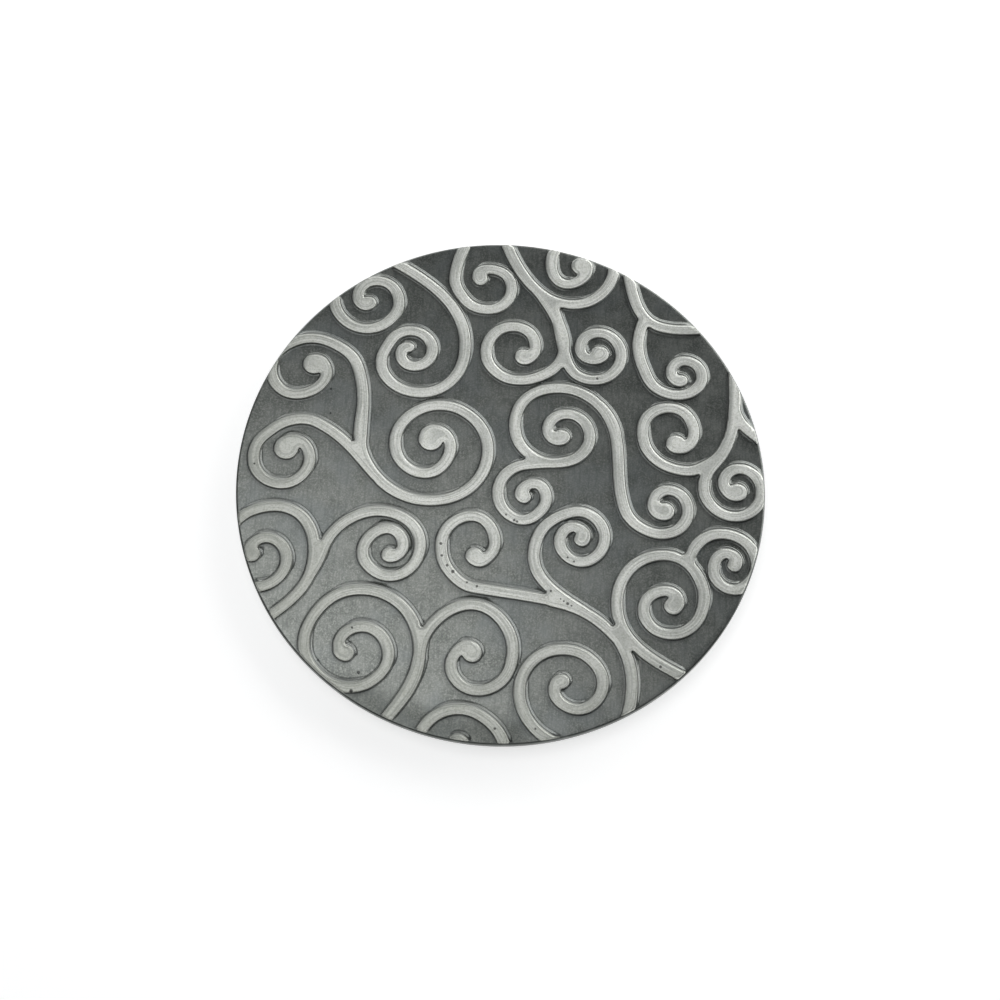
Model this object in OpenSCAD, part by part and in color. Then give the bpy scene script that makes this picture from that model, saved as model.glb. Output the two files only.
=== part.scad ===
// Round cast metal trivet with raised scrollwork, standing on four push-in rubber feet.
// Each scroll is set out the traditional way for a volute: from its eye a radius is laid off on every
// eighth of a turn, and a smooth curve is led through the ends of those radii into a round bulb.
// Millimetres. +Z is up, +Y points to the back, and the origin is on the table under the middle.

/* [Plate] */
// Diameter of the plate
plate_d = 200; // [180:1:240]
// Thickness of the plate under its scrollwork
plate_t = 3.6; // [3:0.1:6]
// Rounding of the rim's upper and lower edge
rim_round = 0.6; // [0.2:0.1:1.2]

/* [Scrollwork] */
// Width of a rib at its foot
rib_w = 4.6; // [3.6:0.1:5.4]
// Height of the ribs above the plate
relief = 1.4; // [0.6:0.1:3]
// Fillet in the crotch where two ribs part
crotch_round = 0.2; // [0.1:0.1:0.6]

/* [Feet] */
// Diameter of a rubber foot
foot_d = 13; // [10:0.5:18]
// Height of a foot below its boss
foot_h = 4; // [3:0.5:8]
// Rounding of a foot's lower edge
foot_round = 1; // [0.3:0.1:1.4]
// Diameter of the stem that is pushed into the plate
stem_d = 5; // [3:0.5:7]
// Length of the stem
stem_h = 2.6; // [1.5:0.1:3]
// Distance of the feet from the middle of the plate
foot_ring_r = 72; // [50:1:78]

/* [Bosses] */
// Metal left around a foot's bore
boss_wall = 5; // [2:0.5:6]
// Height of a boss below the plate
boss_h = 1.5; // [1:0.1:3]
// Play between a stem and its bore, all round
stem_play = 0.05; // [0.02:0.01:0.2]
// Space left above a stem in its bore
stem_headroom = 0.2; // [0.1:0.1:0.5]

/* [Hidden] */

bore_d = stem_d + 2 * stem_play;
bore_h = stem_h + stem_headroom;
boss_d = bore_d + 2 * boss_wall;
boss_z = foot_h;
plate_z = boss_z + boss_h;
ground_z = plate_z + plate_t;

// Points of a curve for each eighth of a turn, and for each stem or branch
turn_points = 5;
stem_points = 10;
// Fineness of bulbs, feet and bores, of the crotch fillets and of the rim
round_fn = 48;
crotch_fn = 8;
rim_fn = 240;
// The pattern is drawn for a plate of this diameter and grows with the plate
layout_d = 200;
grow = plate_d / layout_d;
// Share of the distance between a curve's ends that its handles reach
tight_reach = 0.25;
short_reach = 0.3;
usual_reach = 0.38;
long_reach = 0.45;
corner_reach = 0.62;
// The inner side of a rib stops here, inside the bulb
inner_stop = 0.4;
// A boss runs this far into the plate, a stem into its foot, and a bore's cut out of its boss
lap = 0.5;
// A short step along a curve, in eighths of a turn, for its direction
nudge = 0.02;

ccw = 1;
cw = -1;
no_stem = [];

// Each scroll: eye, way round going in, angle of the first ray, radii on successive eighths of a turn,
// bulb diameter, and the stem that leads to it (start, heading there, reach of its handles)
scrolls = [
    [[-55, 71.5], ccw, 135, [15.5, 13.4, 11.7, 10.9, 10.9, 11.7, 11.3, 9.1, 6, 3.5, 1.8], 6.2, no_stem],
    [[-74.2, 44.7], ccw, 0, [16.8, 11.7, 10.7, 12.3, 16.1, 16.1, 11, 6.9, 4, 2.8], 8.8,
        [[-54, 12.5], 93, usual_reach]],
    [[-82, 9.8], ccw, 45, [15.5, 11, 9.4, 11.6, 14.2, 14.3, 11.6, 8.2, 5.2, 3.2, 2.6], 9.6,
        [[-47.7, 0.9], 133, usual_reach]],
    [[-27.6, 16.3], ccw, 180,
        [27.1, 25.1, 24.5, 24.3, 21.5, 17, 13.8, 12.6, 13.4, 14.2, 13.5, 9.7, 7.1, 5.2, 4, 2.9], 9.4,
        [[-54.3, 30], 271, usual_reach]],
    [[-38.2, 53.7], cw, 0, [21.6, 21.2, 17.9, 13.7, 8.4, 7.1, 7, 7.8, 9, 9, 7.3, 4.2, 1.4, 0.4], 4.6,
        [[-50, 91.5], -27, usual_reach]],
    [[-12.2, 84.2], ccw, 180, [10, 10.1, 12.5, 14.1, 11.6, 6.2, 3.4, 1.6], 6.1,
        [[-17.5, 104], 258, usual_reach]],
    [[27, 92], ccw, 270, [16.2, 13.7, 12.8, 12.8, 12.8, 12.4, 11.8, 10.7, 5.8, 3.2, 2.3], 8,
        [[-2.9, 100.5], -68, usual_reach]],
    [[6.2, 52.3], cw, 0, [14.7, 10.4, 9.7, 11.7, 14.5, 14.7, 11.5, 6, 2.7, 1.6], 7.2,
        [[9.6, 81.2], -47, short_reach]],
    [[35.5, 55.1], ccw, 225, [12.6, 10.6, 9, 8.3, 8.4, 9, 8.8, 7.1, 3.4, 1.7], 7.4,
        [[16.3, 73.9], -56, tight_reach]],
    [[67.2, 46], ccw, 180, [12.8, 7.9, 6, 6.2, 7.7, 8.8, 8.1, 5.4, 2.4, 0.9], 5.4,
        [[53, 72.5], -110, long_reach]],
    [[22, 20.1], ccw, 0, [21, 19.7, 20, 20.5, 17.3, 13, 10.3, 10.2, 10.8, 10.7, 9.3, 7, 4.2, 2], 6.8,
        no_stem],
    [[62, -7.5], ccw, 180, [15, 10.7, 8.9, 8.6, 8.8, 9.1, 8.4, 5.9, 3.7, 2.1], 7.6,
        [[36, 34], -45, usual_reach]],
    [[8.8, -4.7], ccw, 90, [12.9, 11.1, 9.7, 9.1, 9.1, 8.4, 8.4, 7.5, 3.8, 1.9, 1], 5.8,
        [[20, 9.5], 182, usual_reach]],
    [[65.8, 19.7], cw, 315, [13.1, 10.1, 10, 12.2, 15.4, 14.4, 9.2, 4.9, 2.4], 8,
        [[85.3, 21.5], 250, long_reach]],
    [[89.5, 1.7], ccw, 135, [13.8, 12.8, 11, 9.7, 9, 8.9, 9.5, 9.4, 7.3, 4.1, 2.3], 7.5,
        [[87.6, 54], 270, usual_reach]],
    [[-91.2, -32.7], ccw, 0, [23, 23.2, 17.6, 13, 11.5, 11.8, 12.6, 13.5, 12.8, 9.2, 4.2, 1.9], 6.6,
        [[-86, -59], 40, usual_reach]],
    [[-40.2, -30.3], cw, 180, [25.2, 20.2, 16.5, 13.8, 10.6, 8.8, 8.2, 8.5, 10, 10.4, 10.2, 6.8, 2.7], 6.4,
        [[-70, -41.4], 66, usual_reach]],
    [[-53.8, -68.7], ccw, 0, [27.1, 27.2, 23.9, 18.4, 15.1, 12.6, 12.6, 14.2, 15.8, 13.5, 8.3, 3.7, 2], 6.8,
        [[-42, -99], 58, usual_reach]],
    [[-7.5, -66.3], cw, 180, [19.1, 18.2, 18.5, 16.3, 14.9, 14.9, 13.5, 10, 5.9, 3.9, 2.5, 1.8], 7.4,
        [[-42, -99], 58, usual_reach]],
    [[25.8, -75], cw, 315, [27, 23, 18.3, 14.8, 12.6, 12, 13.3, 15.1, 13.2, 8, 3.7, 1.5], 6.2, no_stem],
    [[-8.5, -29], cw, 270, [12.2, 11, 12.2, 15, 15.5, 10.1, 5, 3, 1.6], 7.2,
        [[30, -46.6], 166, usual_reach]],
    [[31.2, -20.3], cw, 180, [16.5, 12.2, 10.8, 9.4, 8.5, 8.4, 8.8, 8.6, 8.1, 6.5, 3.5, 1.7], 6.2,
        [[33.1, -48.3], 150, long_reach]],
    [[66, -44.3], cw, 180, [20.9, 21.2, 19.2, 14.2, 11, 10.3, 10.7, 11.5, 10.8, 7.5, 5.1, 2.9, 1.6], 7.2,
        [[77, -74], 155, usual_reach]],
    [[88.5, -27.3], cw, 180, [17.3, 14.9, 11.5, 9.3, 8.3, 8.4, 9.4, 8.9, 7.6, 6.2, 3.5, 1.2], 5.6,
        [[72.2, -28.6], 85, usual_reach]]
];

// Plain ribs without a scroll: start, heading there, end, heading there, reach of the handles
branches = [
    [[44.8, 94], -80, [80, 68.5], 8, corner_reach],
    [[87.8, 35.5], -78, [102, 20.5], -38, usual_reach],
    [[48, -94], 70, [42.8, -54.6], 136, usual_reach],
    [[45.1, -57.4], 134, [20, -44.8], 172, usual_reach]
];

// The arch at the front edge: eye, radii on successive eighths of a turn from the right, bulb diameter
arch_eye = [-10.8, -100.5];
arch_radii = [17, 13.9, 13.2, 13.6, 14.8];
arch_bulb_d = 8.8;

function eye(s) = grow * s[0];
function hand(s) = s[1];
function first_ray(s) = s[2];
function bulb_d(s) = s[4];
function stem(s) = s[5];
// The last radius lets the rib run into the rim of its bulb
function radii(s) = concat(grow * s[3], [max(0, bulb_d(s) - rib_w) / 2]);

function heading(a) = [cos(a), sin(a)];
function across(v) = [-v.y, v.x] / norm(v);
// A list's number, or one carried on straight beyond either end
function within(list, k) =
    let (last = len(list) - 1)
    k < 0 ? 2 * list[0] - list[1] : k > last ? 2 * list[last] - list[last - 1] : list[k];

// Smooth value between the numbers of a list, at a place counted in steps along it
function smooth(list, at) =
    let (
        k = max(0, min(len(list) - 2, floor(at))),
        t = at - k,
        p0 = within(list, k - 1),
        p1 = list[k],
        p2 = list[k + 1],
        p3 = within(list, k + 2)
    )
    p1 + t / 2 * (p2 - p0 + t * (2 * p0 - 5 * p1 + 4 * p2 - p3 + t * (3 * (p1 - p2) + p3 - p0)));

function volute_point(centre, way, ray, rs, at) = centre + smooth(rs, at) * heading(ray + way * 45 * at);
function volute_course(centre, way, ray, rs, at) =
    volute_point(centre, way, ray, rs, at + nudge) - volute_point(centre, way, ray, rs, at - nudge);

// Cubic curve between two points with given headings
function bend_handles(a, da, b, db, reach) =
    let (pull = reach * norm(b - a))
    [a, a + pull * da, b - pull * db, b];
function bend_point(h, t) =
    pow(1 - t, 3) * h[0] + 3 * t * pow(1 - t, 2) * h[1] + 3 * t * t * (1 - t) * h[2] + t * t * t * h[3];
function bend_course(h, t) =
    pow(1 - t, 2) * (h[1] - h[0]) + 2 * t * (1 - t) * (h[2] - h[1]) + t * t * (h[3] - h[2]);

// A rib's side: the curve's points moved sideways by half the rib's width
function bend_side(h, from, to, side) = [
    for (k = [from:to])
        let (t = k / stem_points)
        bend_point(h, t) + side * rib_w / 2 * across(bend_course(h, t))
];

module branch(start, start_angle, end, end_angle, reach) {
    h = bend_handles(grow * start, heading(start_angle), grow * end, heading(end_angle), reach);
    left = bend_side(h, 0, stem_points, 1);
    right = bend_side(h, 0, stem_points, -1);
    polygon(concat(left, [for (k = [len(right) - 1:-1:0]) right[k]]));
}

module scroll(s) {
    rs = radii(s);
    last = (len(rs) - 1) * turn_points;
    outward = -hand(s);
    start_course = volute_course(eye(s), hand(s), first_ray(s), rs, 0);
    start_point = volute_point(eye(s), hand(s), first_ray(s), rs, 0);
    has_stem = len(stem(s)) > 0;
    h = has_stem
        ? bend_handles(grow * stem(s)[0], heading(stem(s)[1]),
            start_point, start_course / norm(start_course), stem(s)[2])
        : [];
    outer_stem = has_stem ? bend_side(h, 0, stem_points - 1, outward) : [];
    inner_stem = has_stem ? bend_side(h, 0, stem_points - 1, -outward) : [];
    outer_turns = [
        for (k = [0:last])
            let (at = k / turn_points)
            volute_point(eye(s), hand(s), first_ray(s), rs, at)
                + outward * rib_w / 2 * across(volute_course(eye(s), hand(s), first_ray(s), rs, at))
    ];
    inner_turns = [
        for (k = [0:last])
            let (at = k / turn_points)
            if (smooth(rs, at) > rib_w / 2 + inner_stop)
                volute_point(eye(s), hand(s), first_ray(s), rs, at)
                    - outward * rib_w / 2 * across(volute_course(eye(s), hand(s), first_ray(s), rs, at))
    ];
    inner = concat(inner_stem, inner_turns);
    polygon(concat(outer_stem, outer_turns, [eye(s)], [for (k = [len(inner) - 1:-1:0]) inner[k]]));
    translate(eye(s))
        circle(d = bulb_d(s), $fn = round_fn);
}

module arch() {
    centre = grow * arch_eye;
    rs = grow * arch_radii;
    last = (len(rs) - 1) * turn_points;
    outer = [
        for (k = [0:last])
            let (at = k / turn_points)
            volute_point(centre, ccw, 0, rs, at)
                - rib_w / 2 * across(volute_course(centre, ccw, 0, rs, at))
    ];
    inner = [
        for (k = [last:-1:0])
            let (at = k / turn_points)
            volute_point(centre, ccw, 0, rs, at)
                + rib_w / 2 * across(volute_course(centre, ccw, 0, rs, at))
    ];
    polygon(concat(outer, inner));
    translate(centre)
        circle(d = arch_bulb_d, $fn = round_fn);
}

module scroll_pattern() {
    for (s = scrolls)
        scroll(s);
    for (b = branches)
        branch(b[0], b[1], b[2], b[3], b[4]);
    arch();
}

module scrollwork() {
    color("silver")
        translate([0, 0, ground_z])
            linear_extrude(relief)
                offset(r = -crotch_round, $fn = crotch_fn)
                    offset(delta = crotch_round)
                        intersection() {
                            scroll_pattern();
                            circle(d = plate_d - 2 * rim_round, $fn = rim_fn);
                        }
}

// Places of the feet, seen from above
module at_foot(side_x, side_y) {
    translate([side_x, side_y, 0] * foot_ring_r / sqrt(2))
        children();
}

module rounded_disc(d, h, r) {
    rotate_extrude($fn = rim_fn)
        union() {
            translate([0, r])
                square([d / 2, h - 2 * r]);
            square([d / 2 - r, h]);
            translate([d / 2 - r, r])
                circle(r, $fn = round_fn);
            translate([d / 2 - r, h - r])
                circle(r, $fn = round_fn);
        }
}

module cast_plate() {
    color("dimgray")
        difference() {
            union() {
                translate([0, 0, plate_z])
                    rounded_disc(plate_d, plate_t, rim_round);
                for (x = [-1, 1], y = [-1, 1])
                    at_foot(x, y)
                        translate([0, 0, boss_z])
                            cylinder(d = boss_d, h = boss_h + lap, $fn = round_fn);
            }
            for (x = [-1, 1], y = [-1, 1])
                at_foot(x, y)
                    translate([0, 0, boss_z - lap])
                        cylinder(d = bore_d, h = bore_h + lap, $fn = round_fn);
        }
}

module foot(side_x, side_y) {
    color("black")
        at_foot(side_x, side_y) {
            rotate_extrude($fn = round_fn)
                union() {
                    square([foot_d / 2 - foot_round, foot_h]);
                    translate([0, foot_round])
                        square([foot_d / 2, foot_h - foot_round]);
                    translate([foot_d / 2 - foot_round, foot_round])
                        circle(foot_round, $fn = round_fn);
                }
            translate([0, 0, foot_h - lap])
                cylinder(d = stem_d, h = stem_h + lap, $fn = round_fn);
        }
}

module foot_front_left() foot(-1, -1);
module foot_front_right() foot(1, -1);
module foot_back_left() foot(-1, 1);
module foot_back_right() foot(1, 1);

cast_plate();
scrollwork();
foot_front_left();
foot_front_right();
foot_back_left();
foot_back_right();
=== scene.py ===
# %% [markdown]
# # A round cast trivet with raised scrolls
#
# The real thing is an aluminium casting: a flat disc whose upper side carries raised scrolls. It was
# blackened all over, and then the crests were rubbed bright again, so two finishes on one metal draw
# the picture. This lesson loads the measured solids first and then builds those looks around them.
# Everything stays in the frame of the solids: metres, +Z up, the origin on the table under the middle.

# %% Load the measured solids
import math

import bmesh
import bpy
import numpy as np
from mathutils import Matrix, Vector, geometry, kdtree, noise


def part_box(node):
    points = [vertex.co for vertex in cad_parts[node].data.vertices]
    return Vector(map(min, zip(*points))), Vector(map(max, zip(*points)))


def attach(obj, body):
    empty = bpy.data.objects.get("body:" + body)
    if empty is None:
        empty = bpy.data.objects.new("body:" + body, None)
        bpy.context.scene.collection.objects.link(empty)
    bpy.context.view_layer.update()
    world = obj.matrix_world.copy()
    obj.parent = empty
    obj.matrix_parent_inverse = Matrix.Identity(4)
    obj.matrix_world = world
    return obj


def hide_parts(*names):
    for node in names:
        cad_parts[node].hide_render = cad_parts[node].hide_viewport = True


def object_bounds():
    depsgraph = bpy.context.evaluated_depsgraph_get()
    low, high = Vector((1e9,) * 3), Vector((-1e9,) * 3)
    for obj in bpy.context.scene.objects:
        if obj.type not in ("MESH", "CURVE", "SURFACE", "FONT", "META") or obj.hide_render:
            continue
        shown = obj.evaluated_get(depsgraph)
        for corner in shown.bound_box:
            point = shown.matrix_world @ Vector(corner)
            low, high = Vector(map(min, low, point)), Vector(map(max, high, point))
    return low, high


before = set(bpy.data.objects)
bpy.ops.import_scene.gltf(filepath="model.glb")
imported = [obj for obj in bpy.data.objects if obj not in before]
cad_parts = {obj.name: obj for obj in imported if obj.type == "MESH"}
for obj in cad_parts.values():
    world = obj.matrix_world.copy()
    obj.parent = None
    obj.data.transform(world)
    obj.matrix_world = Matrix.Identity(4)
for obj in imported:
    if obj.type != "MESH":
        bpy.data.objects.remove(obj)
cad_low, cad_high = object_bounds()
MM = 0.001
print("solids:", sorted(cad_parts))
print("box in mm:", [round(v / MM, 2) for v in (*cad_low, *cad_high)])

# %% [markdown]
# ## The camera
#
# The photograph looks steeply down on the plate, a little turned, through a long lens. The angle and
# the lens were found by fitting the plate's round rim to its outline in the photograph. The camera is
# set from its three axes, because that states the small roll plainly.

# %% Camera
GROUND_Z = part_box("cast_plate")[1].z / MM
ELEVATION = math.radians(71.34)
TURN = math.radians(-0.63)
ROLL = math.radians(3.63)
FOCAL_PX = 1977
IMAGE_PX = 1000
AIM = (-0.03, -6.40, GROUND_Z)
DISTANCE = 745
SENSOR_MM = 36

turn = Matrix.Rotation(TURN, 3, "Z")
back = Vector((0, -math.cos(ELEVATION), math.sin(ELEVATION)))
level = Vector((1, 0, 0))
upward = back.cross(level)
right = math.cos(ROLL) * level + math.sin(ROLL) * upward
top = math.cos(ROLL) * upward - math.sin(ROLL) * level
axes = Matrix((turn @ right, turn @ top, turn @ back)).transposed()

lens = bpy.data.cameras.new("camera")
lens.sensor_width = SENSOR_MM
lens.lens = FOCAL_PX / IMAGE_PX * SENSOR_MM
camera = bpy.data.objects.new("camera", lens)
camera.matrix_world = Matrix.Translation(turn @ (Vector(AIM) + DISTANCE * back) * MM) @ axes.to_4x4()
bpy.context.scene.collection.objects.link(camera)
bpy.context.scene.camera = camera
print("camera at", [round(v, 3) for v in camera.matrix_world.translation], "lens", round(lens.lens, 1))

# %% [markdown]
# ## Colours and nodes
#
# Colours are written as the hex values that a picture shows, and one function turns them into the
# linear values that light is reckoned in. One small function adds a shader node, sets it up and links
# it, so that a material further down reads as a list of what goes into what. A finish is built up as it
# is by hand, coat on coat, and each coat says where on the piece it begins and where it is full.


# %% Helpers for materials
# depth of the fine roughness that the materials show by shading alone
BUMP = 0.05 * MM


def linear(hex_colour):
    """A hex colour such as #808080 as linear red, green, blue and alpha."""
    parts = [int(hex_colour[k:k + 2], 16) / 255 for k in (1, 3, 5)]
    return [c / 12.92 if c <= 0.04045 else ((c + 0.055) / 1.055) ** 2.4 for c in parts] + [1.0]


def add(tree, kind, inputs=None, **settings):
    """A new node with its settings; each input is linked to a socket, or set to a hex colour or a value."""
    node = tree.nodes.new(kind)
    for name, value in settings.items():
        setattr(node, name, value)
    for socket, value in (inputs or {}).items():
        if isinstance(value, bpy.types.NodeSocket):
            tree.links.new(value, node.inputs[socket])
        else:
            node.inputs[socket].default_value = linear(value) if isinstance(value, str) else value
    return node


def new_material(name):
    """An empty node material and its tree."""
    material = bpy.data.materials.new(name)
    material.use_nodes = True
    material.node_tree.nodes.clear()
    return material, material.node_tree


def coat(tree, under, colour, amount, spans=(), how="MIX"):
    """A colour laid over another by an amount, let in smoothly from start to end of each span's value."""
    share = amount
    for value, start, end in spans:
        span = {0: value, 1: start, 2: end}
        step = add(tree, "ShaderNodeMapRange", span, interpolation_type="SMOOTHSTEP").outputs[0]
        share = add(tree, "ShaderNodeMath", {0: share, 1: step}, operation="MULTIPLY").outputs[0]
    colours = {0: share, 6: under, 7: colour}
    return add(tree, "ShaderNodeMix", colours, data_type="RGBA", blend_type=how).outputs[2]


bpy.context.scene.view_settings.view_transform = "Standard"
print("mid grey #808080 is", round(linear("#808080")[0], 3), "linear")

# %% [markdown]
# ## Floor and light
#
# The trivet lies on plain white paper, lit as a small product is lit. A soft box hangs above on the
# left: the plate mirrors it on the left and looks past it on the right, so the ground goes from light to
# dark. A wide one stands low on the far right, draws a bright line along the scrolls' right shoulders
# and lets them throw a soft shadow to the left. A weaker one on the far left opens the shoulders that
# face it, and a faint one in front keeps the front walls from going black. Metal shows what it mirrors,
# so the places of the boxes matter more than their strength. A brightness of 1 looks white in a mirror.

# %% Floor
FLOOR_MM = 12000
PAPER = "#E4E4E4"
PAPER_LIFT = 0.6

paper, tree = new_material("white paper")
ray = add(tree, "ShaderNodeLightPath").outputs
seen = add(tree, "ShaderNodeMath", {0: ray["Is Camera Ray"], 1: ray["Is Glossy Ray"]}, operation="MAXIMUM")
seen = add(tree, "ShaderNodeMath", {0: seen.outputs[0], 1: ray["Is Transmission Ray"]}, operation="MAXIMUM")
lift = add(tree, "ShaderNodeMath", {0: seen.outputs[0], 1: PAPER_LIFT}, operation="MULTIPLY")
shader = add(
    tree,
    "ShaderNodeBsdfPrincipled",
    {
        "Base Color": PAPER,
        "Roughness": 0.9,
        "Specular IOR Level": 0.1,
        "Emission Color": "#FFFFFF",
        "Emission Strength": lift.outputs[0],
    },
)
add(tree, "ShaderNodeOutputMaterial", {"Surface": shader.outputs["BSDF"]})

half = FLOOR_MM / 2 * MM
corners = [(-half, -half, 0), (half, -half, 0), (half, half, 0), (-half, half, 0)]
floor_mesh = bpy.data.meshes.new("floor")
floor_mesh.from_pydata(corners, [], [(0, 1, 2, 3)])
floor_mesh.materials.append(paper)
floor = bpy.data.objects.new("floor", floor_mesh)
bpy.context.scene.collection.objects.link(floor)
print("floor", FLOOR_MM, "mm across")

# %% Soft boxes
# name, centre in mm, point it faces in mm, width and height in mm, brightness
SOFT_BOXES = [
    ("overhead soft box", (-180, -60, 640), (-40, -60, 0), (560, 480), 1.6),
    ("far right soft box", (500, 455, 255), (0, 0, 10), (1250, 520), 2.5),
    ("far left soft box", (-300, 640, 220), (0, 0, 10), (560, 420), 1.7),
    ("front fill", (260, -640, 150), (0, 0, 10), (700, 260), 0.9),
]
ROOM_LIGHT = 0.1

world = bpy.data.worlds.new("studio room")
world.use_nodes = True
world.node_tree.nodes["Background"].inputs["Color"].default_value = linear("#E2EAEE")
world.node_tree.nodes["Background"].inputs["Strength"].default_value = ROOM_LIGHT
bpy.context.scene.world = world

for name, centre, faces, size, brightness in SOFT_BOXES:
    lamp = bpy.data.lights.new(name, "AREA")
    lamp.shape = "RECTANGLE"
    lamp.size = size[0] * MM
    lamp.size_y = size[1] * MM
    lamp.energy = brightness * math.pi * lamp.size * lamp.size_y
    box = bpy.data.objects.new(name, lamp)
    box.location = Vector(centre) * MM
    box.rotation_mode = "QUATERNION"
    box.rotation_quaternion = (Vector(faces) - Vector(centre)).to_track_quat("-Z", "Y")
    box.visible_camera = False
    bpy.context.scene.collection.objects.link(box)
    print(name, round(lamp.energy, 2), "W")

# %% [markdown]
# ## The scrolls' outlines
#
# The solids already hold every scroll as an upright wall. Their crest faces are read back as loops of
# points, led through smooth curves and cut into equal steps. Where a scroll is cut off by the rim, the
# loop runs along the rim for a while; that stretch isn't a side of the scroll, so it is left out and the
# sides are carried on straight a little way past the rim.

# %% Read the loops and even them out
# in mm: the step along a side, the step of the curve it is cut from, and the shortest edge that is kept
STEP = 0.55
FINE_STEP = 0.1
SHORTEST = 0.02
# crest faces lie within this of the highest point, in mm, and shared points agree to so many digits
LEVEL_WITHIN = 0.01
DIGITS = 4
# a turn sharper than this is a corner
CORNER = math.radians(25)
SMOOTHINGS = 2
SCROLL_R = np.hypot(*np.array([v.co.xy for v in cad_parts["scrollwork"].data.vertices]).T).max() / MM


def crest_loops(mesh):
    """Loops of points in mm round the flat crests, with the metal on their left."""
    co = np.array([v.co for v in mesh.vertices]) / MM
    mesh.calc_loop_triangles()
    tris = np.array([t.vertices for t in mesh.loop_triangles])
    flat = (np.abs(co[tris][:, :, 2] - co[:, 2].max()) < LEVEL_WITHIN).all(1)
    spot = [tuple(p) for p in np.round(co[:, :2], DIGITS)]
    edges = {(spot[a], spot[b]): None for t in tris[flat] for a, b in zip(t, np.roll(t, -1))}
    follow = {a: b for a, b in edges if (b, a) not in edges}
    loops = []
    while follow:
        start, point = follow.popitem()
        loop = [start]
        while point != start:
            loop.append(point)
            point = follow.pop(point)
        loop = np.array(loop)
        loops.append(loop[np.hypot(*(loop - np.roll(loop, 1, 0)).T) > SHORTEST])
    return loops


def even_points(loop):
    """The loop at equal steps, curved through its gentle corners and straight at its sharp ones."""
    ahead = np.roll(loop, -1, 0) - loop
    size = np.hypot(*ahead.T)[:, None]
    out = ahead / size
    come, come_size = np.roll(out, 1, 0), np.roll(size, 1, 0)
    gentle = (come * out).sum(1)[:, None] > math.cos(CORNER)
    mean = (come * size + out * come_size) / (size + come_size)
    leave = np.where(gentle, mean, out)
    arrive = np.roll(np.where(gentle, mean, come), -1, 0)
    pieces = []
    for k, p in enumerate(loop):
        t = np.arange(0, 1, FINE_STEP / max(size[k, 0], FINE_STEP))[:, None]
        q = p + ahead[k]
        pieces.append(
            (2 * t**3 - 3 * t**2 + 1) * p + (3 * t**2 - 2 * t**3) * q
            + (t**3 - 2 * t**2 + t) * size[k] * leave[k] + (t**3 - t**2) * size[k] * arrive[k]
        )
    fine = np.concatenate(pieces + [loop[:1]])
    run = np.concatenate([[0], np.cumsum(np.hypot(*np.diff(fine, axis=0).T))])
    stops = np.linspace(0, run[-1], round(run[-1] / STEP) + 1)[:-1]
    even = np.stack([np.interp(stops, run, fine[:, k]) for k in (0, 1)], 1)
    for _ in range(SMOOTHINGS):
        even = (np.roll(even, 1, 0) + 2 * even + np.roll(even, -1, 0)) / 4
    return even


loops = [even_points(loop) for loop in crest_loops(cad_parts["scrollwork"].data)]
print(len(loops), "loops,", sum(map(len, loops)), "points, out to", round(SCROLL_R, 2), "mm")

# %% Sides of the scrolls, and the distance to them
# a point this near to the rim, in mm, lies on it, and a side is carried on so far past it
RIM_SLACK = 0.06
PAST_RIM = 3.0
# a run of fewer points isn't a side
FEWEST_POINTS = 4
# keeps a direction without length from being divided by zero
TINY = 1e-9


def unit(v):
    """The same directions with a length of 1."""
    return v / np.maximum(np.hypot(*v.T)[:, None], TINY)


chains = []
for loop in loops:
    on_rim = np.hypot(*loop.T) > SCROLL_R - RIM_SLACK
    if not on_rim.any():
        chains.append(np.concatenate([loop, loop[:2]]))
        continue
    turned = np.roll(loop, -int(np.argmax(on_rim & ~np.roll(on_rim, -1))), 0)
    on_rim = np.hypot(*turned.T) > SCROLL_R - RIM_SLACK
    for run in np.split(turned, np.flatnonzero(np.diff(on_rim.astype(int))) + 1):
        if np.hypot(*run[0]) <= SCROLL_R - RIM_SLACK and len(run) >= FEWEST_POINTS:
            first = run[0] + PAST_RIM * unit(run[:1] - run[2:3])[0]
            last = run[-1] + PAST_RIM * unit(run[-1:] - run[-3:-2])[0]
            chains.append(np.concatenate([[first], run, [last]]))

side_start = np.concatenate([c[:-1] for c in chains])
side_end = np.concatenate([c[1:] for c in chains])
chain_left = []
for c in chains:
    across = unit(np.diff(c, axis=0))[:, ::-1] * (-1, 1)
    chain_left.append(unit(np.concatenate([across[:1], across]) + np.concatenate([across, across[-1:]])))
left_start = np.concatenate([n[:-1] for n in chain_left])
left_end = np.concatenate([n[1:] for n in chain_left])
finder = kdtree.KDTree(len(side_start))
for k, middle in enumerate((side_start + side_end) / 2):
    finder.insert((*middle, 0), k)
finder.balance()


def from_side(points):
    """For each point, its distance from the nearest side, above zero on a scroll, and the way out there."""
    near = np.array([finder.find((x, y, 0))[1] for x, y in points])
    best = np.full(len(points), np.inf)
    signed = np.zeros(len(points))
    outward = np.zeros((len(points), 2))
    for shift in (-1, 0, 1):
        k = np.clip(near + shift, 0, len(side_start) - 1)
        run = side_end[k] - side_start[k]
        t = np.clip(((points - side_start[k]) * run).sum(1) / (run * run).sum(1), 0, 1)[:, None]
        gap = points - side_start[k] - t * run
        left = unit((1 - t) * left_start[k] + t * left_end[k])
        far = np.hypot(*gap.T)
        closer = far < best
        best = np.where(closer, far, best)
        signed = np.where(closer, np.copysign(far, (gap * left).sum(1)), signed)
        outward = np.where(closer[:, None], -left, outward)
    return signed, outward


print(len(chains), "sides,", len(side_start), "steps along them")

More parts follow.
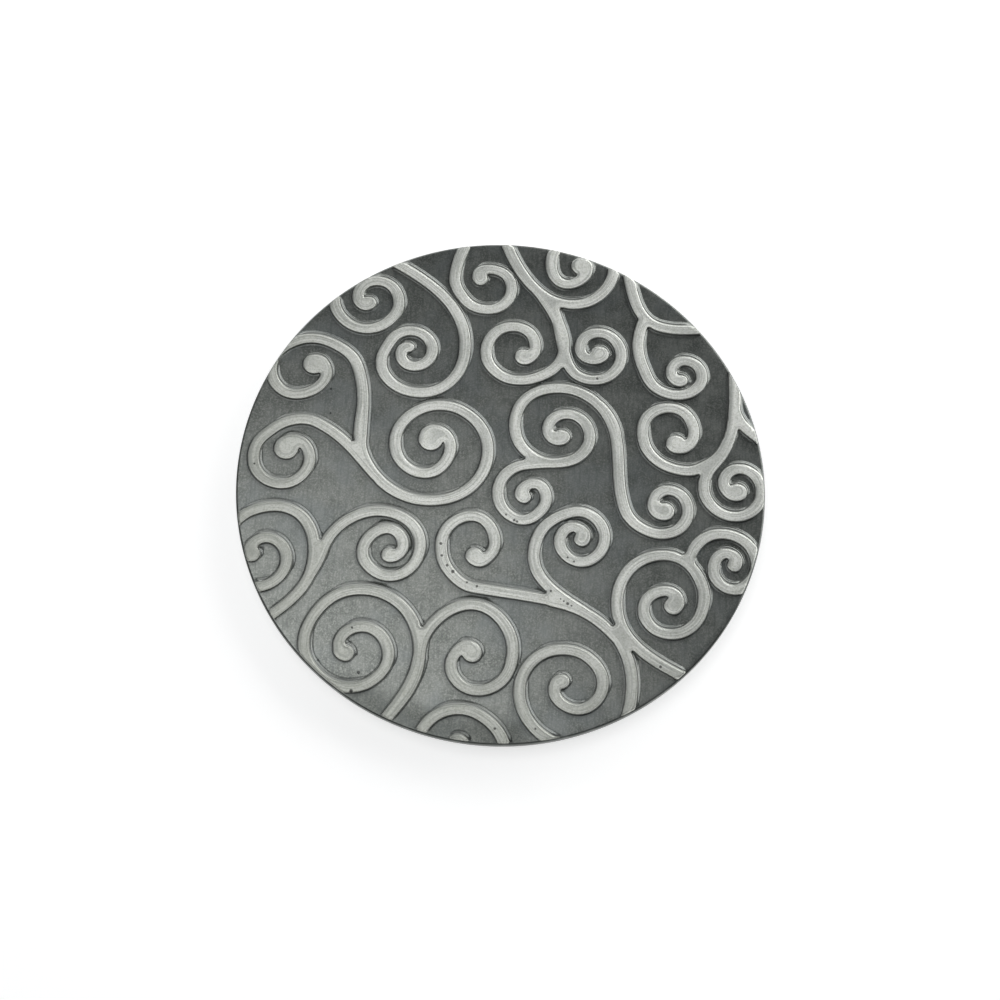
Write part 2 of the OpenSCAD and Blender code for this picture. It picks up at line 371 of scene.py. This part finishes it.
# %% [markdown]
# ## The scrolls
#
# A sand-cast rib has sloping sides, a softly rounded shoulder and a crest that was rubbed flat. Here the
# sides lean: they are steep where they face the front of the plate and gentle where they face the back.
# A bevelled curve could make such a rib, but where two scrolls part the bevels would cut into each
# other. So rings of points are laid inside the outline at chosen distances from the side, each point is
# kept only where it really is that far from every side, and the points are joined into triangles. The
# distance from the side then gives the height, so every crotch and bulb gets a clean shoulder.

# %% Rib profile
RELIEF = cad_high.z / MM - GROUND_Z
# how far a side faces the back, from -1 to 1, and the width of its slope in mm
SLOPE_WIDTH = [(-0.5, 0.08), (-0.2, 0.15), (0.2, 0.35), (0.55, 0.6), (0.83, 0.9), (0.98, 1.2)]
BACK = np.array((0.2, 0.98))
# how far a side faces the back left, and the width of its rounded shoulder in mm
SHOULDER_WIDTH = [(-0.9, 0.12), (-0.5, 0.2), (0, 0.4), (0.6, 0.95)]
BACK_LEFT = np.array((-0.71, 0.71))
# zone and share of the height: the slope runs from zone 0 to 1, and the rounded shoulder from 1 to 2
PROFILE = [(0, 0), (0.35, 0.36), (0.7, 0.7), (1, 0.9), (1.3, 0.965), (1.6, 0.99), (2, 1)]
# in mm: the innermost ring, how far a ring's point may be off its distance, and the way left to the rim
CREST_RING = 2.15
RING_SLIP = 0.05
RIM_CLEAR = 0.3


def slope_width(outward):
    """The width in mm of the slope on a side that faces this way."""
    return np.interp(outward @ BACK, *zip(*SLOPE_WIDTH))


def shoulder_width(outward):
    """The width in mm of the rounded shoulder above such a side."""
    return np.interp(outward @ BACK_LEFT, *zip(*SHOULDER_WIDTH))


def zone_of(distance, outward):
    """Where a point lies across a scroll: 0 at the foot, 1 at the top of the slope, 2 past the shoulder."""
    wide = slope_width(outward)
    return np.where(distance < wide, distance / wide, 1 + (distance - wide) / shoulder_width(outward))


chain_points = np.concatenate([c[1:-1] for c in chains])
chain_inward = np.concatenate([n[1:-1] for n in chain_left])
chain_width = slope_width(-chain_inward)
chain_shoulder = shoulder_width(-chain_inward)


def laid_off(distance, every=1):
    """Points this far in from the scrolls' sides, without those that come nearer to another side."""
    distance = np.broadcast_to(distance, len(chain_points))[::every]
    places = chain_points[::every] + distance[:, None] * chain_inward[::every]
    return places[np.abs(from_side(places)[0] - distance) < RING_SLIP]


def inside(places, radius):
    """The points nearer to the middle than this."""
    return places[np.hypot(*places.T) < radius]


rings = [laid_off(np.where(zone <= 1, zone * chain_width, chain_width + (zone - 1) * chain_shoulder))
         for zone, _ in PROFILE[1:]]
rings = [inside(ring, SCROLL_R - RIM_CLEAR) for ring in rings + [laid_off(CREST_RING)]]
print("slope rings:", [len(ring) for ring in rings])

# %% Ends at the rim, and the bulbs
# depth in from the rim and height: where the rim cuts a scroll off, its end is nearly upright
RIM_PROFILE = [(0, 0), (0.04, 0.9), (0.14, 1.2), (0.32, 1.35), (0.6, 1.4)]
# in mm: how far the points of an end stay off the sides, and the pitch and distance of a bulb's grid
END_CLEAR = 0.2
BULB_GRID = 1.1
BULB_CLEAR = 0.4


def round_points(count):
    """Points evenly round a circle of radius 1."""
    angles = np.linspace(0, 2 * np.pi, count, endpoint=False)
    return np.stack([np.cos(angles), np.sin(angles)], 1)


def hex_grid(pitch, reach):
    """Points of a triangular grid inside a circle."""
    rows = np.arange(-reach, reach, pitch * math.sqrt(3) / 2)
    columns = np.arange(-reach, reach, pitch)
    places = [(x + pitch / 2 * (k % 2), y) for k, y in enumerate(rows) for x in columns]
    return inside(np.array(places), reach)


circle = round_points(round(2 * np.pi * SCROLL_R / STEP))
for depth, _ in RIM_PROFILE[1:]:
    cut = (SCROLL_R - depth) * circle
    rings.append(cut[from_side(cut)[0] > END_CLEAR])
bulbs = hex_grid(BULB_GRID, SCROLL_R - 2 * BULB_CLEAR)
rings.append(bulbs[from_side(bulbs)[0] > CREST_RING + BULB_CLEAR])
print("points on the scrolls:", sum(map(len, rings)))

# %% [markdown]
# Sand leaves a few small holes in a casting, and rubbing the crests bare lays them open. The places of
# the ones that show were read off. Each is a small cone of points, so it is a real dent.

# %% Casting pits
# x, y and width of each pit, in mm
PITS = [
    (-21.3, -25.2, 0.9), (-20.7, -29.8, 0.8), (-18.5, -33.5, 0.9), (-16.2, -35.8, 1.1), (-7, -41, 0.8),
    (-10.8, -39.7, 0.7), (5.6, -14.5, 0.9), (6.7, -15, 0.8), (2.4, -12.5, 0.7), (26.2, -28, 0.7),
    (28.6, -29.5, 0.7), (26.9, -45.9, 1), (28.3, -46.6, 0.6), (25.4, -45, 0.6), (24.2, -44.2, 0.5),
    (20.5, -41.3, 0.8), (34.8, 44.4, 0.8), (2.3, -94.2, 0.8), (17, -93.5, 0.7), (-52, -59.3, 0.7),
    (-93.4, 2.5, 0.7), (61.8, -68, 0.9), (-48.5, -75.7, 1), (-50.6, -83, 1.1), (-63.5, -72, 0.8),
    (-67, 35, 0.8), (-66.4, 25, 0.7),
]
PIT_DEPTH = 0.3
PIT_SPOKES = 7
# the dark of a pit reaches this many times its width
PIT_SHOULDER = 1.5

spoke_ends = round_points(PIT_SPOKES) / 2
pit_star = np.concatenate([[(0, 0)], spoke_ends, PIT_SHOULDER * spoke_ends])
pit_points = np.concatenate([(x, y) + wide * pit_star for x, y, wide in PITS])


def pitted(places):
    """The depth of the pits at each point, and how far into a pit it is, from 0 to 1."""
    depth = np.zeros(len(places))
    share = np.zeros(len(places))
    for x, y, wide in PITS:
        from_middle = np.hypot(places[:, 0] - x, places[:, 1] - y) / wide * 2
        depth = np.maximum(depth, PIT_DEPTH * np.clip(1 - from_middle, 0, 1))
        share = np.maximum(share, np.interp(from_middle, (1, PIT_SHOULDER), (1, 0)))
    return depth, share


def clear_of_pits(places):
    """The points that aren't inside a pit, whose own points take their place."""
    return places[pitted(places)[1] == 0]


print(len(PITS), "pits")

# %% Join the points
# in mm: points nearer than this are one, and the points of a pit stay so far off the sides
SAME_SPOT = 1e-5
PIT_CLEAR = 0.1
# what is filled with triangles: everything, or only the inside of the edges
FILL_ALL, FILL_INSIDE = 0, 1

outline = np.concatenate(loops)
ends = np.cumsum([len(loop) for loop in loops])
outline_edges = []
for first, last in zip([0, *ends[:-1]], ends):
    ring = [int(k) for k in range(first, last)]
    outline_edges += zip(ring, [*ring[1:], ring[0]])


def triangles(places, edges):
    """Points joined into triangles, which stay inside the given closed edges where there are any."""
    fill = FILL_INSIDE if edges else FILL_ALL
    made = geometry.delaunay_2d_cdt([Vector(p) for p in places], edges, [], fill, SAME_SPOT)
    return np.array([v[:] for v in made[0]]), np.array(made[2])


def border_of(tris):
    """The edges of these triangles that no two of them share."""
    directed = {(a, b) for t in tris for a, b in zip(t, np.roll(t, -1))}
    return [(a, b) for a, b in directed if (b, a) not in directed]


scroll_pits = pit_points[from_side(pit_points)[0] > PIT_CLEAR]
points = np.concatenate([outline, clear_of_pits(np.concatenate(rings)), scroll_pits])
points, tris = triangles(points, outline_edges)
# a triangle with all its corners on the foot would lie flat on the one underneath
tris = tris[~np.isin(tris, border_of(tris)).all(1)]
border = border_of(tris)
foot_ids = sorted({a for edge in border for a in edge})
order = {a: k for k, a in enumerate(foot_ids)}
under = triangles(points[foot_ids], [(order[a], order[b]) for a, b in border])[1]
under = np.array(foot_ids)[under][:, ::-1]
print("scrolls:", len(points), "points,", len(tris), "triangles,", len(under), "underneath")

# %% Heights of the scrolls
# in mm: how deep the foot is sunk into the plate, and the height and size of the waves on the crests
SUNK = 0.05
WAVE = 0.04
WAVE_MM = 9
# the side away from the far right soft box, where the colours paint shade and shadow at the scrolls' feet
LEE = np.array((-0.64, -0.77))
# an edge sharper than this is shaded as an edge, and one shorter than a sliver is closed up
SHARP = math.radians(55)
SLIVER = 1e-4 * MM


def waves(places, size):
    """Gentle unevenness from 0 to 1, with bumps about this many mm across."""
    return np.array([noise.noise((x / size, y / size, 0)) for x, y in places]) / 2 + 0.5


def new_piece(name, places, faces, marks):
    """A closed smooth-shaded mesh from points in mm, with a number stored at each point for every mark."""
    mesh = bpy.data.meshes.new(name)
    mesh.from_pydata((np.array(places) * MM).tolist(), [], [tuple(map(int, f)) for f in faces])
    for mark, values in marks.items():
        mesh.attributes.new(mark, "FLOAT", "POINT").data.foreach_set("value", values.astype(np.float32))
    skin = bmesh.new()
    skin.from_mesh(mesh)
    bmesh.ops.dissolve_degenerate(skin, dist=SLIVER, edges=skin.edges)
    bmesh.ops.delete(skin, geom=[v for v in skin.verts if not v.link_faces], context="VERTS")
    bmesh.ops.recalc_face_normals(skin, faces=skin.faces)
    open_edges = sum(not e.is_manifold for e in skin.edges)
    skin.to_mesh(mesh)
    skin.free()
    mesh.shade_smooth()
    mesh.set_sharp_from_angle(angle=SHARP)
    piece = bpy.data.objects.new(name, mesh)
    bpy.context.scene.collection.objects.link(piece)
    print(name, len(mesh.polygons), "faces,", open_edges, "open edges")
    return piece


from_edge, outward = from_side(points)
zone = zone_of(from_edge, outward)
height = RELIEF * np.interp(zone, *zip(*PROFILE))
height = np.minimum(height, np.interp(SCROLL_R - np.hypot(*points.T), *zip(*RIM_PROFILE)))
dent, pit_share = pitted(points)
height -= height / RELIEF * (dent + WAVE * waves(points, WAVE_MM))
height[foot_ids] = -SUNK
scrolls = new_piece(
    "scrollwork_cast",
    np.column_stack([points, GROUND_Z + height]),
    [*tris, *under],
    {
        "edge": from_edge,
        "zone": zone,
        "lee": outward @ LEE,
        "back_left": outward @ BACK_LEFT,
        "pit": pit_share,
    },
)
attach(scrolls, "root")
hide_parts("scrollwork")
print("crest at", round(GROUND_Z + height.max(), 2), "mm")

# %% [markdown]
# ## The plate
#
# The plate is a flat disc with a rounded rim, and four low bosses below that hold the feet. Its upper
# side rises in a small fillet at the foot of every scroll, as cast metal does, and in a wider bank where
# the side faces the back and the right. The upper side is again joined from rings of points; the rim,
# the back and the bosses are rings that follow one another.

# %% Upper side of the plate
PLATE_R = cad_high.x / MM
# rounding of the rim's edges in mm, and the steps round one of them
LIP = 0.9
LIP_STEPS = 5
RIM_POINTS = 720
# distance from the foot of a scroll, below zero on the ground, and the height of the fillet there
FILLET = [(-0.55, 0), (-0.45, 0), (-0.22, 0.06), (-0.05, 0.12), (0.3, 0.12)]
# how far a side faces the back right, and how much of a bank lies at its foot
BANK = [(0.3, 0), (0.6, 1)]
BACK_RIGHT = np.array((0.6, 0.8))
# a full bank is this much wider and higher than the fillet
BANK_WIDER = 2.4
BANK_HIGHER = 6
# the outermost ring on the ground, and past it a grid with some way left to the ring and to the rim
FAR_RING = -1.8
GROUND_GRID = 2.6
GRID_CLEAR = 0.5
GRID_RIM_CLEAR = 1
GROUND_WAVE = 0.03
GROUND_WAVE_MM = 14
# in mm: the ground's unevenness dies out over this much towards the rim, and a point this near is on it
LEVEL_NEAR_RIM = 1.5
ON_RIM = 1e-3


def bank_share(outward):
    """How much of a bank lies at the foot of a side that faces this way, from 0 to 1."""
    return np.interp(outward @ BACK_RIGHT, *zip(*BANK))


flat_r = PLATE_R - LIP
circle = round_points(RIM_POINTS)
wider = 1 + (BANK_WIDER - 1) * bank_share(-chain_inward)
rings = [inside(laid_off(d * np.where(d < 0, wider, 1), every=2), flat_r - RIM_CLEAR) for d, _ in FILLET]
rings.append(inside(laid_off(FAR_RING, every=2), flat_r - RIM_CLEAR))
grid = hex_grid(GROUND_GRID, flat_r - GRID_RIM_CLEAR)
rings.append(grid[from_side(grid)[0] < FAR_RING - GRID_CLEAR])
ground_pits = pit_points[from_side(pit_points)[0] < 0]
points = np.concatenate([flat_r * circle, clear_of_pits(np.concatenate(rings)), ground_pits])
points, tris = triangles(points, [])
from_edge, outward = from_side(points)
from_rim = flat_r - np.hypot(*points.T)
dent, pit_share = pitted(points)
bank = bank_share(outward)
narrowed = np.where(from_edge < 0, from_edge / (1 + (BANK_WIDER - 1) * bank), from_edge)
rise = np.interp(narrowed, *zip(*FILLET)) * (1 + (BANK_HIGHER - 1) * bank)
height = rise - dent - GROUND_WAVE * waves(points, GROUND_WAVE_MM)
height *= np.clip(from_rim / LEVEL_NEAR_RIM, 0, 1)
rim_order = np.argsort(np.arctan2(points[:, 1], points[:, 0]) % (2 * np.pi))
rim_ids = [int(k) for k in rim_order if from_rim[k] < ON_RIM]
print("ground:", len(points), "points,", len(tris), "triangles,", len(rim_ids), "on the rim")

# %% Rim
# height of the plate's underside in the solids, in mm
PLATE_Z = 5.5


class Skin:
    """The points and faces of one closed surface, grown ring by ring."""

    def __init__(self):
        self.points = []
        self.faces = []

    def add(self, places):
        """Takes in new points and gives their numbers."""
        first = len(self.points)
        self.points.extend(map(tuple, places))
        return list(range(first, len(self.points)))

    def join(self, ring, places):
        """Takes in a new ring of points and joins it to the ring before it."""
        new = self.add(places)
        self.faces += [(ring[k - 1], new[k - 1], new[k], ring[k]) for k in range(len(ring))]
        return new


def level_ring(ring_circle, radius, z, centre=(0, 0)):
    """A level ring of points round a centre."""
    return np.column_stack([np.array(centre) + radius * ring_circle, np.full(len(ring_circle), z)])


body = Skin()
body.add(np.column_stack([points, GROUND_Z + height]))
body.faces = [tuple(t) for t in tris]
arc = np.linspace(0, np.pi / 2, LIP_STEPS + 1)
lip_profile = [(flat_r + LIP * math.sin(a), GROUND_Z - LIP + LIP * math.cos(a)) for a in arc[1:]]
lip_profile += [(flat_r + LIP * math.cos(a), PLATE_Z + LIP - LIP * math.sin(a)) for a in arc]
ring = rim_ids
for r, z in lip_profile:
    ring = body.join(ring, level_ring(circle, r, z))
print("rim:", len(lip_profile), "rings")

# %% Back and bosses
BOSS_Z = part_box("cast_plate")[0].z / MM
# boss and bore are as wide and as high as in the solids, in mm
BOSS_R = 7.55
BORE_R = 2.55
BORE_TOP = 6.8
BOSS_POINTS = 64
BOSS_FILLET_R = BOSS_R + 0.8
# radius and height, from the fillet at the back down the boss and up into the bore
BOSS_PROFILE = [
    (BOSS_R + 0.25, PLATE_Z - 0.1),
    (BOSS_R + 0.05, PLATE_Z - 0.4),
    (BOSS_R, BOSS_Z + 0.35),
    (BOSS_R - 0.1, BOSS_Z + 0.1),
    (BOSS_R - 0.35, BOSS_Z),
    (BORE_R, BOSS_Z),
    (BORE_R, BORE_TOP),
]
BACK_GRID = 4
BACK_WAVE = 0.12
BACK_WAVE_MM = 12
# the waves of the back die out over this much towards the rim
BACK_LEVEL_MM = 15
feet = {name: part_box(name) for name in sorted(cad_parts) if name.startswith("foot")}
foot_places = [((low + high) / 2 / MM).xy for low, high in feet.values()]

boss_circle = round_points(BOSS_POINTS)
boss_rings = [np.array(place) + BOSS_FILLET_R * boss_circle for place in foot_places]
grid = hex_grid(BACK_GRID, flat_r - BACK_GRID / 2)
for place in foot_places:
    grid = grid[np.hypot(*(grid - np.array(place)).T) > BOSS_FILLET_R + BACK_GRID / 2]
back_points, back_tris = triangles(np.concatenate([flat_r * circle, *boss_rings, grid]), [])
middles = back_points[back_tris].mean(1)
clear = [np.hypot(*(middles - np.array(place)).T) > BOSS_FILLET_R for place in foot_places]
back_z = np.full(len(back_points), PLATE_Z)
fade = np.clip((flat_r - np.hypot(*grid.T)) / BACK_LEVEL_MM, 0, 1)
back_z[-len(grid):] += BACK_WAVE * fade * waves(grid, BACK_WAVE_MM)
ids = np.array(ring + body.add(np.column_stack([back_points, back_z])[RIM_POINTS:]))
body.faces += [tuple(t) for t in ids[back_tris[np.all(clear, 0)]]]
for k, place in enumerate(foot_places):
    first = RIM_POINTS + k * BOSS_POINTS
    ring = ids[first:first + BOSS_POINTS].tolist()
    for r, z in BOSS_PROFILE:
        ring = body.join(ring, level_ring(boss_circle, r, z, place))
    body.faces.append(tuple(ring))
print("bosses at", [tuple(round(v, 1) for v in place) for place in foot_places])

# %% The plate as one mesh
# the marks of points that aren't on the upper side say that no scroll is near
UNSEEN = -50.0
extra = len(body.points) - len(points)
on_lip = len(lip_profile) * RIM_POINTS
plate = new_piece(
    "plate_cast",
    body.points,
    body.faces,
    {
        "edge": np.concatenate([from_edge, np.full(extra, UNSEEN)]),
        "lee": np.concatenate([outward @ LEE, np.zeros(extra)]),
        "bank": np.concatenate([bank, np.zeros(extra)]),
        "pit": np.concatenate([pit_share, np.zeros(extra)]),
        "rim": np.concatenate([np.zeros(len(points)), np.ones(on_lip), np.zeros(extra - on_lip)]),
        "back": np.concatenate([np.zeros(len(points) + on_lip), np.ones(extra - on_lip)]),
    },
)
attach(plate, "root")
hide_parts("cast_plate")

# %% [markdown]
# ## The feet
#
# Under each boss sits a moulded rubber button with a stem that is pressed into the boss. A real one has
# rounded edges, a thin seam round its waist where the two halves of the mould met, and a shallow dish
# below that grips the table. All of it is round, so one profile is turned about the stem.

# %% Turned rubber feet
FOOT_POINTS = 48
# the stem is as wide and as high as in the solids, in mm, with a small bevel at its tip
STEM_R = 2.5
STEM_TOP = 6.6
STEM_TIP = 0.3
# radius and height in mm, from the middle of the dish below, round the button, up to the stem
FOOT_PROFILE = [
    (3.2, 0.55), (3.7, 0.45), (4.1, 0.12), (4.4, 0), (5.5, 0), (5.9, 0.08), (6.25, 0.35), (6.4, 0.75),
    (6.42, 1.75), (6.5, 1.82), (6.5, 1.98), (6.42, 2.05), (6.4, 3.3), (6.2, 3.75), (5.8, 3.97), (5.4, 4),
    (STEM_R, 4), (STEM_R, STEM_TOP - STEM_TIP), (STEM_R - STEM_TIP, STEM_TOP),
]

foot_circle = round_points(FOOT_POINTS)
rubber_feet = []
for name, place in zip(feet, foot_places):
    button = Skin()
    ring = button.add(level_ring(foot_circle, *FOOT_PROFILE[0], place))
    button.faces.append(tuple(ring))
    for r, z in FOOT_PROFILE[1:]:
        ring = button.join(ring, level_ring(foot_circle, r, z, place))
    button.faces.append(tuple(ring))
    foot = new_piece(name.replace("foot", "rubber_foot"), button.points, button.faces, {})
    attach(foot, "root")
    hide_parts(name)
    rubber_feet.append(foot)

# %% [markdown]
# ## Bright aluminium of the scrolls
#
# After blackening, the crests were rubbed along their length with an abrasive pad until bare metal
# showed. To the eye that is a pale satin grey with fine lines along each scroll. The pad doesn't reach
# the steep sides, which stay black and draw a thin dark outline, and it only half clears the gentle
# ones. On the sides away from the light that outline is also painted shade, the back-left shoulders are
# painted darker as shade, and the crests carry painted light, brightest towards the back right.
# The marks stored at each point say how far across the rib it lies and which way its side faces.
# A picture laid over the plate could hold all this too, but marks stay sharp at any distance.

# %% Crests rubbed bright
# the pad's scratches are finer than this, but would then not show in a picture of the whole plate
BRUSH_LINE_MM = 0.45
BRUSH_LENGTH_MM = 20
LINES_END_MM = 2.4
RUB_MM = 2.2
GRIT_MM = 0.6
# where the painted light on the crests is brightest, in mm
PAINTED_LIGHT_AT = (35, 40, 10)
CREST_ROUGH = (0.45, 0.58)

crest, tree = new_material("cast aluminium, crests rubbed bright")
place = add(tree, "ShaderNodeTexCoord").outputs["Object"]
mm = add(tree, "ShaderNodeVectorMath", {0: place, "Scale": 1 / MM}, operation="SCALE").outputs[0]
edge, zone, lee, back_left, pit = (
    add(tree, "ShaderNodeAttribute", attribute_name=mark).outputs["Fac"]
    for mark in ("edge", "zone", "lee", "back_left", "pit")
)
# brush lines run along the rib: they change quickly with the distance from its side and slowly along it;
# where the scrolls part or end in a bulb, the pad was turned about, and no lines show in the middle
xyz = add(tree, "ShaderNodeSeparateXYZ", {0: mm}).outputs
across = add(tree, "ShaderNodeMath", {0: edge, 1: LINES_END_MM}, operation="MINIMUM").outputs[0]
lines = add(tree, "ShaderNodeCombineXYZ", {0: across, 1: xyz[0], 2: xyz[1]}).outputs[0]
line_size = (BRUSH_LINE_MM, BRUSH_LENGTH_MM, BRUSH_LENGTH_MM)
lines = add(tree, "ShaderNodeVectorMath", {0: lines, 1: line_size}, operation="DIVIDE").outputs[0]
brush = add(tree, "ShaderNodeTexNoise", {"Vector": lines, "Scale": 1.0, "Detail": 3}).outputs["Fac"]
rub = add(tree, "ShaderNodeTexNoise", {"Vector": mm, "Scale": 1 / RUB_MM, "Detail": 4}).outputs["Fac"]
grit = add(tree, "ShaderNodeTexNoise", {"Vector": mm, "Scale": 1 / GRIT_MM, "Detail": 2}).outputs["Fac"]
colour = coat(tree, "#D9DBD6", "#FEFFFA", 1.0, [(brush, 0.33, 0.63)])
colour = coat(tree, colour, "#E8E9E5", 1.0, [(grit, 0.4, 0.7)], "MULTIPLY")
# painted light: the crests are painted brightest back right of the middle and darker away from there
from_painted_light = add(tree, "ShaderNodeVectorMath", {0: mm, 1: PAINTED_LIGHT_AT}, operation="DISTANCE").outputs["Value"]
colour = coat(tree, colour, "#C8C9C6", 1.0, [(from_painted_light, 60, 165)], "MULTIPLY")
# painted shade: the shoulders at the back left are darkened towards their edge, where the light falls off
colour = coat(tree, colour, "#868985", 0.6, [(edge, 2.5, 0.2), (back_left, -0.1, 0.7)])
# the slopes that face the back are rubbed less and less towards their foot
colour = coat(tree, colour, "#7E817E", 0.12, [(zone, 1.2, 0.0), (back_left, -0.5, 0.2), (lee, 0.0, -0.6)])
# a thin broken dark line along the upper edge of the sides that face the back and the left
upper_edge = [(edge, 0.1, 0.25), (edge, 0.55, 0.4)]
colour = coat(tree, colour, "#484B4A", 0.55, [*upper_edge, (back_left, 0.1, 0.6), (rub, 0.3, 0.6)])
# the foot of the sides away from the light: black patina the pad doesn't reach, and painted shade there
colour = coat(tree, colour, "#1E2021", 0.7, [(zone, 0.5, 0.15), (lee, 0.05, 0.45)])
colour = coat(tree, colour, "#2A2B2B", 0.75, [(pit, 0.0, 1.0)])
rough = add(tree, "ShaderNodeMapRange", {0: brush, 3: CREST_ROUGH[0], 4: CREST_ROUGH[1]}).outputs[0]
bump = add(tree, "ShaderNodeBump", {"Height": brush, "Strength": 0.4, "Distance": BUMP}).outputs[0]
shader = add(
    tree,
    "ShaderNodeBsdfPrincipled",
    {"Base Color": colour, "Roughness": rough, "Normal": bump, "Metallic": 1.0},
)
add(tree, "ShaderNodeOutputMaterial", {"Surface": shader.outputs["BSDF"]})
scrolls.data.materials.append(crest)
print(crest.name, len(tree.nodes), "nodes")

# %% [markdown]
# ## Blackened ground of the plate
#
# The ground between the scrolls kept its black: a thin dark skin on the metal, wiped while wet and then
# waxed. The eye sees a dark satin that mirrors large soft shapes, cloudy where the wiping was uneven,
# and blackest along the feet of the scrolls, where the cloth couldn't follow. At the feet of the sides
# away from the light that black is also painted shade and shadow, and the banks facing the light carry
# a painted highlight. A metal with a dark colour gives the mirror; a part of it is left non-metal,
# because the black skin also takes shadows. The rim was blackened too, and the back is the bare casting.

# %% Blackened and waxed
CLOUD_MM = 8
GRAIN_MM = 0.55
WIPE_MM = (0.9, 9, 9)
TINT_MM = 16
GROUND_ROUGH = (0.28, 0.36)
BACK_ROUGH = 0.6
METAL_SHARE = 0.9

ground, tree = new_material("cast aluminium, blackened and waxed")
place = add(tree, "ShaderNodeTexCoord").outputs["Object"]
mm = add(tree, "ShaderNodeVectorMath", {0: place, "Scale": 1 / MM}, operation="SCALE").outputs[0]
edge, lee, bank, pit, rim, back = (
    add(tree, "ShaderNodeAttribute", attribute_name=mark).outputs["Fac"]
    for mark in ("edge", "lee", "bank", "pit", "rim", "back")
)
cloud = add(tree, "ShaderNodeTexNoise", {"Vector": mm, "Scale": 1 / CLOUD_MM, "Detail": 6}).outputs["Fac"]
grain = add(tree, "ShaderNodeTexNoise", {"Vector": mm, "Scale": 1 / GRAIN_MM, "Detail": 2}).outputs["Fac"]
tint = add(tree, "ShaderNodeTexNoise", {"Vector": mm, "Scale": 1 / TINT_MM, "Detail": 3}).outputs["Fac"]
streak = add(tree, "ShaderNodeVectorMath", {0: mm, 1: WIPE_MM}, operation="DIVIDE").outputs[0]
wipe = add(tree, "ShaderNodeTexNoise", {"Vector": streak, "Scale": 1.0, "Detail": 2}).outputs["Fac"]
colour = coat(tree, "#6C706C", "#8D908C", 1.0, [(cloud, 0.25, 0.75)])
colour = coat(tree, colour, "#A4A6A1", 0.8, [(grain, 0.36, 0.76)])
# wiping left faint streaks from front to back, and the wax has a blue cast in places
colour = coat(tree, colour, "#666968", 0.55, [(wipe, 0.45, 0.8)])
colour = coat(tree, colour, "#70787C", 0.3, [(tint, 0.45, 0.7)])
# the bank at the foot of a scroll is dull outside; towards the scroll it is rubbed half bright, partly a
# painted highlight on the banks that face the light
colour = coat(tree, colour, "#4C4E4D", 0.4, [(bank, 0.0, 1.0), (edge, -1.2, -0.7)])
colour = coat(tree, colour, "#A8AAA6", 0.6, [(bank, 0.0, 1.0), (edge, -0.55, 0.0)])
# painted shadow at the foot of the sides away from the light: the corner is black, partly patina and
# partly painted shade, and a veil of painted shadow reaches further out
colour = coat(tree, colour, "#4A4C4C", 0.4, [(edge, -1.9, -0.3), (lee, -0.1, 0.6)])
colour = coat(tree, colour, "#202223", 0.65, [(edge, -0.6, -0.1), (lee, 0.05, 0.5)])
colour = coat(tree, colour, "#2A2B2B", 0.75, [(pit, 0.0, 1.0)])
# the ground is darker over a stretch near the front rim
xyz = add(tree, "ShaderNodeSeparateXYZ", {0: mm}).outputs
from_middle = add(tree, "ShaderNodeVectorMath", {0: mm}, operation="LENGTH").outputs["Value"]
stretch = [(from_middle, 86, 96), (xyz[0], 22, 8), (xyz[1], -72, -84)]
colour = coat(tree, colour, "#C6C7C6", 1.0, stretch, "MULTIPLY")
# the rim kept its black but for some wear, and the back was never blackened
colour = coat(tree, colour, "#666966", 0.85, [(rim, 0.0, 1.0)])
colour = coat(tree, colour, "#9A9C98", 0.5, [(rim, 0.0, 1.0), (cloud, 0.5, 0.7)])
colour = coat(tree, colour, "#ACADAA", 0.75, [(back, 0.0, 1.0)])
rough = add(tree, "ShaderNodeMapRange", {0: cloud, 3: GROUND_ROUGH[0], 4: GROUND_ROUGH[1]}).outputs[0]
rough = add(tree, "ShaderNodeMix", {0: back, 2: rough, 3: BACK_ROUGH}).outputs[0]
bump = add(tree, "ShaderNodeBump", {"Height": grain, "Strength": 0.35, "Distance": BUMP}).outputs[0]
shader = add(
    tree,
    "ShaderNodeBsdfPrincipled",
    {"Base Color": colour, "Roughness": rough, "Normal": bump, "Metallic": METAL_SHARE},
)
add(tree, "ShaderNodeOutputMaterial", {"Surface": shader.outputs["BSDF"]})
plate.data.materials.append(ground)
print(ground.name, len(tree.nodes), "nodes")

# %% [markdown]
# ## Rubber of the feet
#
# The feet are moulded from black rubber. It looks dark and matt, a little greyer where dust settles in
# its fine moulded grain.

# %% Moulded rubber
DUST_MM = 1.2

rubber, tree = new_material("moulded black rubber")
place = add(tree, "ShaderNodeTexCoord").outputs["Object"]
mm = add(tree, "ShaderNodeVectorMath", {0: place, "Scale": 1 / MM}, operation="SCALE").outputs[0]
dust = add(tree, "ShaderNodeTexNoise", {"Vector": mm, "Scale": 1 / DUST_MM, "Detail": 4}).outputs["Fac"]
colour = coat(tree, "#1B1B1B", "#2E2E2D", dust)
bump = add(tree, "ShaderNodeBump", {"Height": dust, "Strength": 0.2, "Distance": BUMP}).outputs[0]
shader = add(
    tree, "ShaderNodeBsdfPrincipled", {"Base Color": colour, "Roughness": 0.7, "Normal": bump}
)
add(tree, "ShaderNodeOutputMaterial", {"Surface": shader.outputs["BSDF"]})
for foot in rubber_feet:
    foot.data.materials.append(rubber)
print(rubber.name, "on", len(rubber_feet), "feet")
